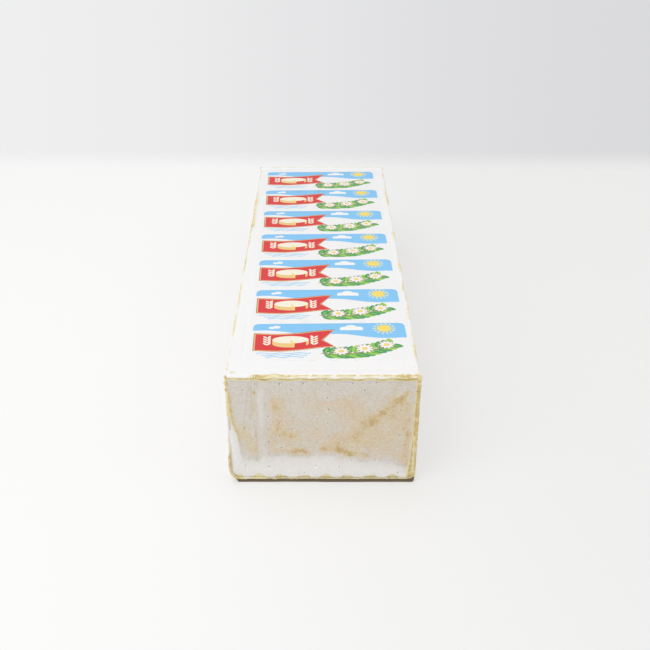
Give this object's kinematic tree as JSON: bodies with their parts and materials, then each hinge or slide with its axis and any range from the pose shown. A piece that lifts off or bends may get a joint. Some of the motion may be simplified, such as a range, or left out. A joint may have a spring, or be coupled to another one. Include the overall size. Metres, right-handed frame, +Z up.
{
  "type": "wrapped soft cheese log",
  "caption": "Long brick-shaped soft-ripened cheese log shut in thin folded film, with a printed paper label strip along its top.",
  "frame": {"origin": "middle of the flat face the log rests on", "axes": "+Z up, +Y along the log from its front end to its back end, +X to the right as seen from the front end"},
  "size_m": [0.0774, 0.257, 0.0516],
  "materials": {
    "wrapped_cheese": "thin white pin-pricked film clinging to a bloomy rind, satin, with tan damp patches and ochre edges",
    "label_paper": "satin white label paper with flat fields of red, sky blue, green and yellow print"
  },
  "bodies": {
    "root": {"wrapped_log": "wrapped_cheese", "label_strip": "label_paper"}
  },
  "joints": []
}
